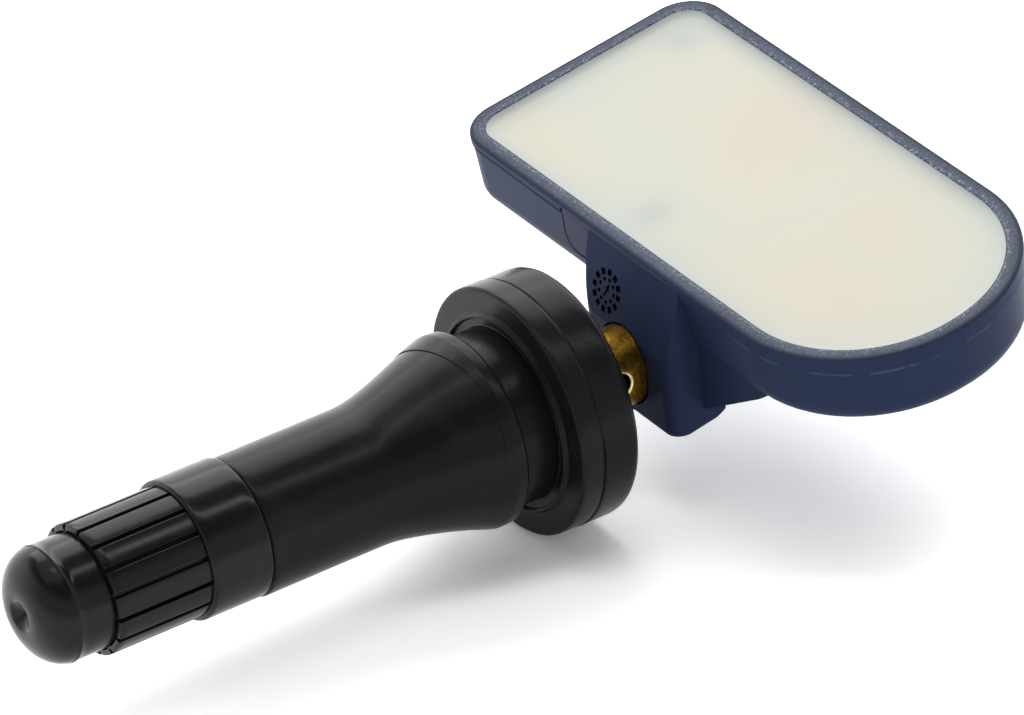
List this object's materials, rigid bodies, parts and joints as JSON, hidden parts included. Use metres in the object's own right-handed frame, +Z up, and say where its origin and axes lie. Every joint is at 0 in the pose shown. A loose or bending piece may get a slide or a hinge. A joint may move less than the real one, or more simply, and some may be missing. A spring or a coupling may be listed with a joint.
{
  "type": "tyre pressure sensor",
  "caption": "Tyre pressure sensor: snap-in rubber valve stem with a screw cap and sprung core, carrying a D-shaped potted sensor tray on a screwed bracket.",
  "frame": {"origin": "on the stem's axis, in the front face of the rubber flange, where it seats on the wheel rim", "axes": "+X along the stem from the cap to the sensor, +Z up out of the potted face, +Y towards the tray's square end"},
  "size_m": [0.0766, 0.0477, 0.0219],
  "materials": {
    "stem_rubber": "satin black moulded rubber",
    "cap_plastic": "black moulded plastic, slightly glossy",
    "brass": "turned and milled brass",
    "core_steel": "bright wire",
    "seal_rubber": "matt black rubber",
    "housing_plastic": "navy moulded plastic, scuffed along its rim",
    "potting": "cream potting compound, satin",
    "screw_steel": "zinc-plated steel",
    "board": "green solder mask",
    "chip_plastic": "black moulded package",
    "filter_felt": "white porous membrane",
    "can_metal": "drawn metal can",
    "ferrite": "dark grey ferrite",
    "copper": "enamelled copper wire",
    "ceramic": "tan ceramic block",
    "cell_can": "nickel-plated can",
    "tab_steel": "nickel strip"
  },
  "bodies": {
    "stem": {"rubber_stem": "stem_rubber", "stem_insert": "brass", "core_plug": "brass", "core_barrel": "brass", "core_barrel_seal": "seal_rubber", "core_spring": "core_steel", "sensor_housing": "housing_plastic", "retaining_screw": "screw_steel", "circuit_board": "board", "sensor_chip": "chip_plastic", "port_seal": "seal_rubber", "port_filter": "filter_felt", "crystal": "can_metal", "coil_core": "ferrite", "coil_winding": "copper", "chip_capacitors": "ceramic", "battery_cell": "cell_can", "battery_tab_positive": "tab_steel", "battery_tab_negative": "tab_steel", "antenna_strip": "tab_steel", "potting": "potting"},
    "cap": {"valve_cap": "cap_plastic"},
    "cap_washer": {"cap_seal": "seal_rubber"},
    "core_pin": {"core_pin": "core_steel", "core_cup_seal": "seal_rubber"}
  },
  "joints": [
    {"name": "cap_lift", "type": "slide", "parent": "stem", "child": "cap_washer", "axis": [-1, 0, 0], "range_m": [0, 0.00635]},
    {"name": "cap_turn", "type": "hinge", "parent": "cap_washer", "child": "cap", "pos_m": [-0.0364, 0, 0], "axis": [-1, 0, 0], "range_deg": [0, 2880]},
    {"name": "core_press", "type": "slide", "parent": "stem", "child": "core_pin", "axis": [1, 0, 0], "range_m": [0, 0.0012], "stiffness_N_per_m": 800, "deforming": ["core_spring"]}
  ],
  "couplings": [
    {"joint": "cap_turn", "follows": "cap_lift", "rad_per_m": 7913.3}
  ]
}
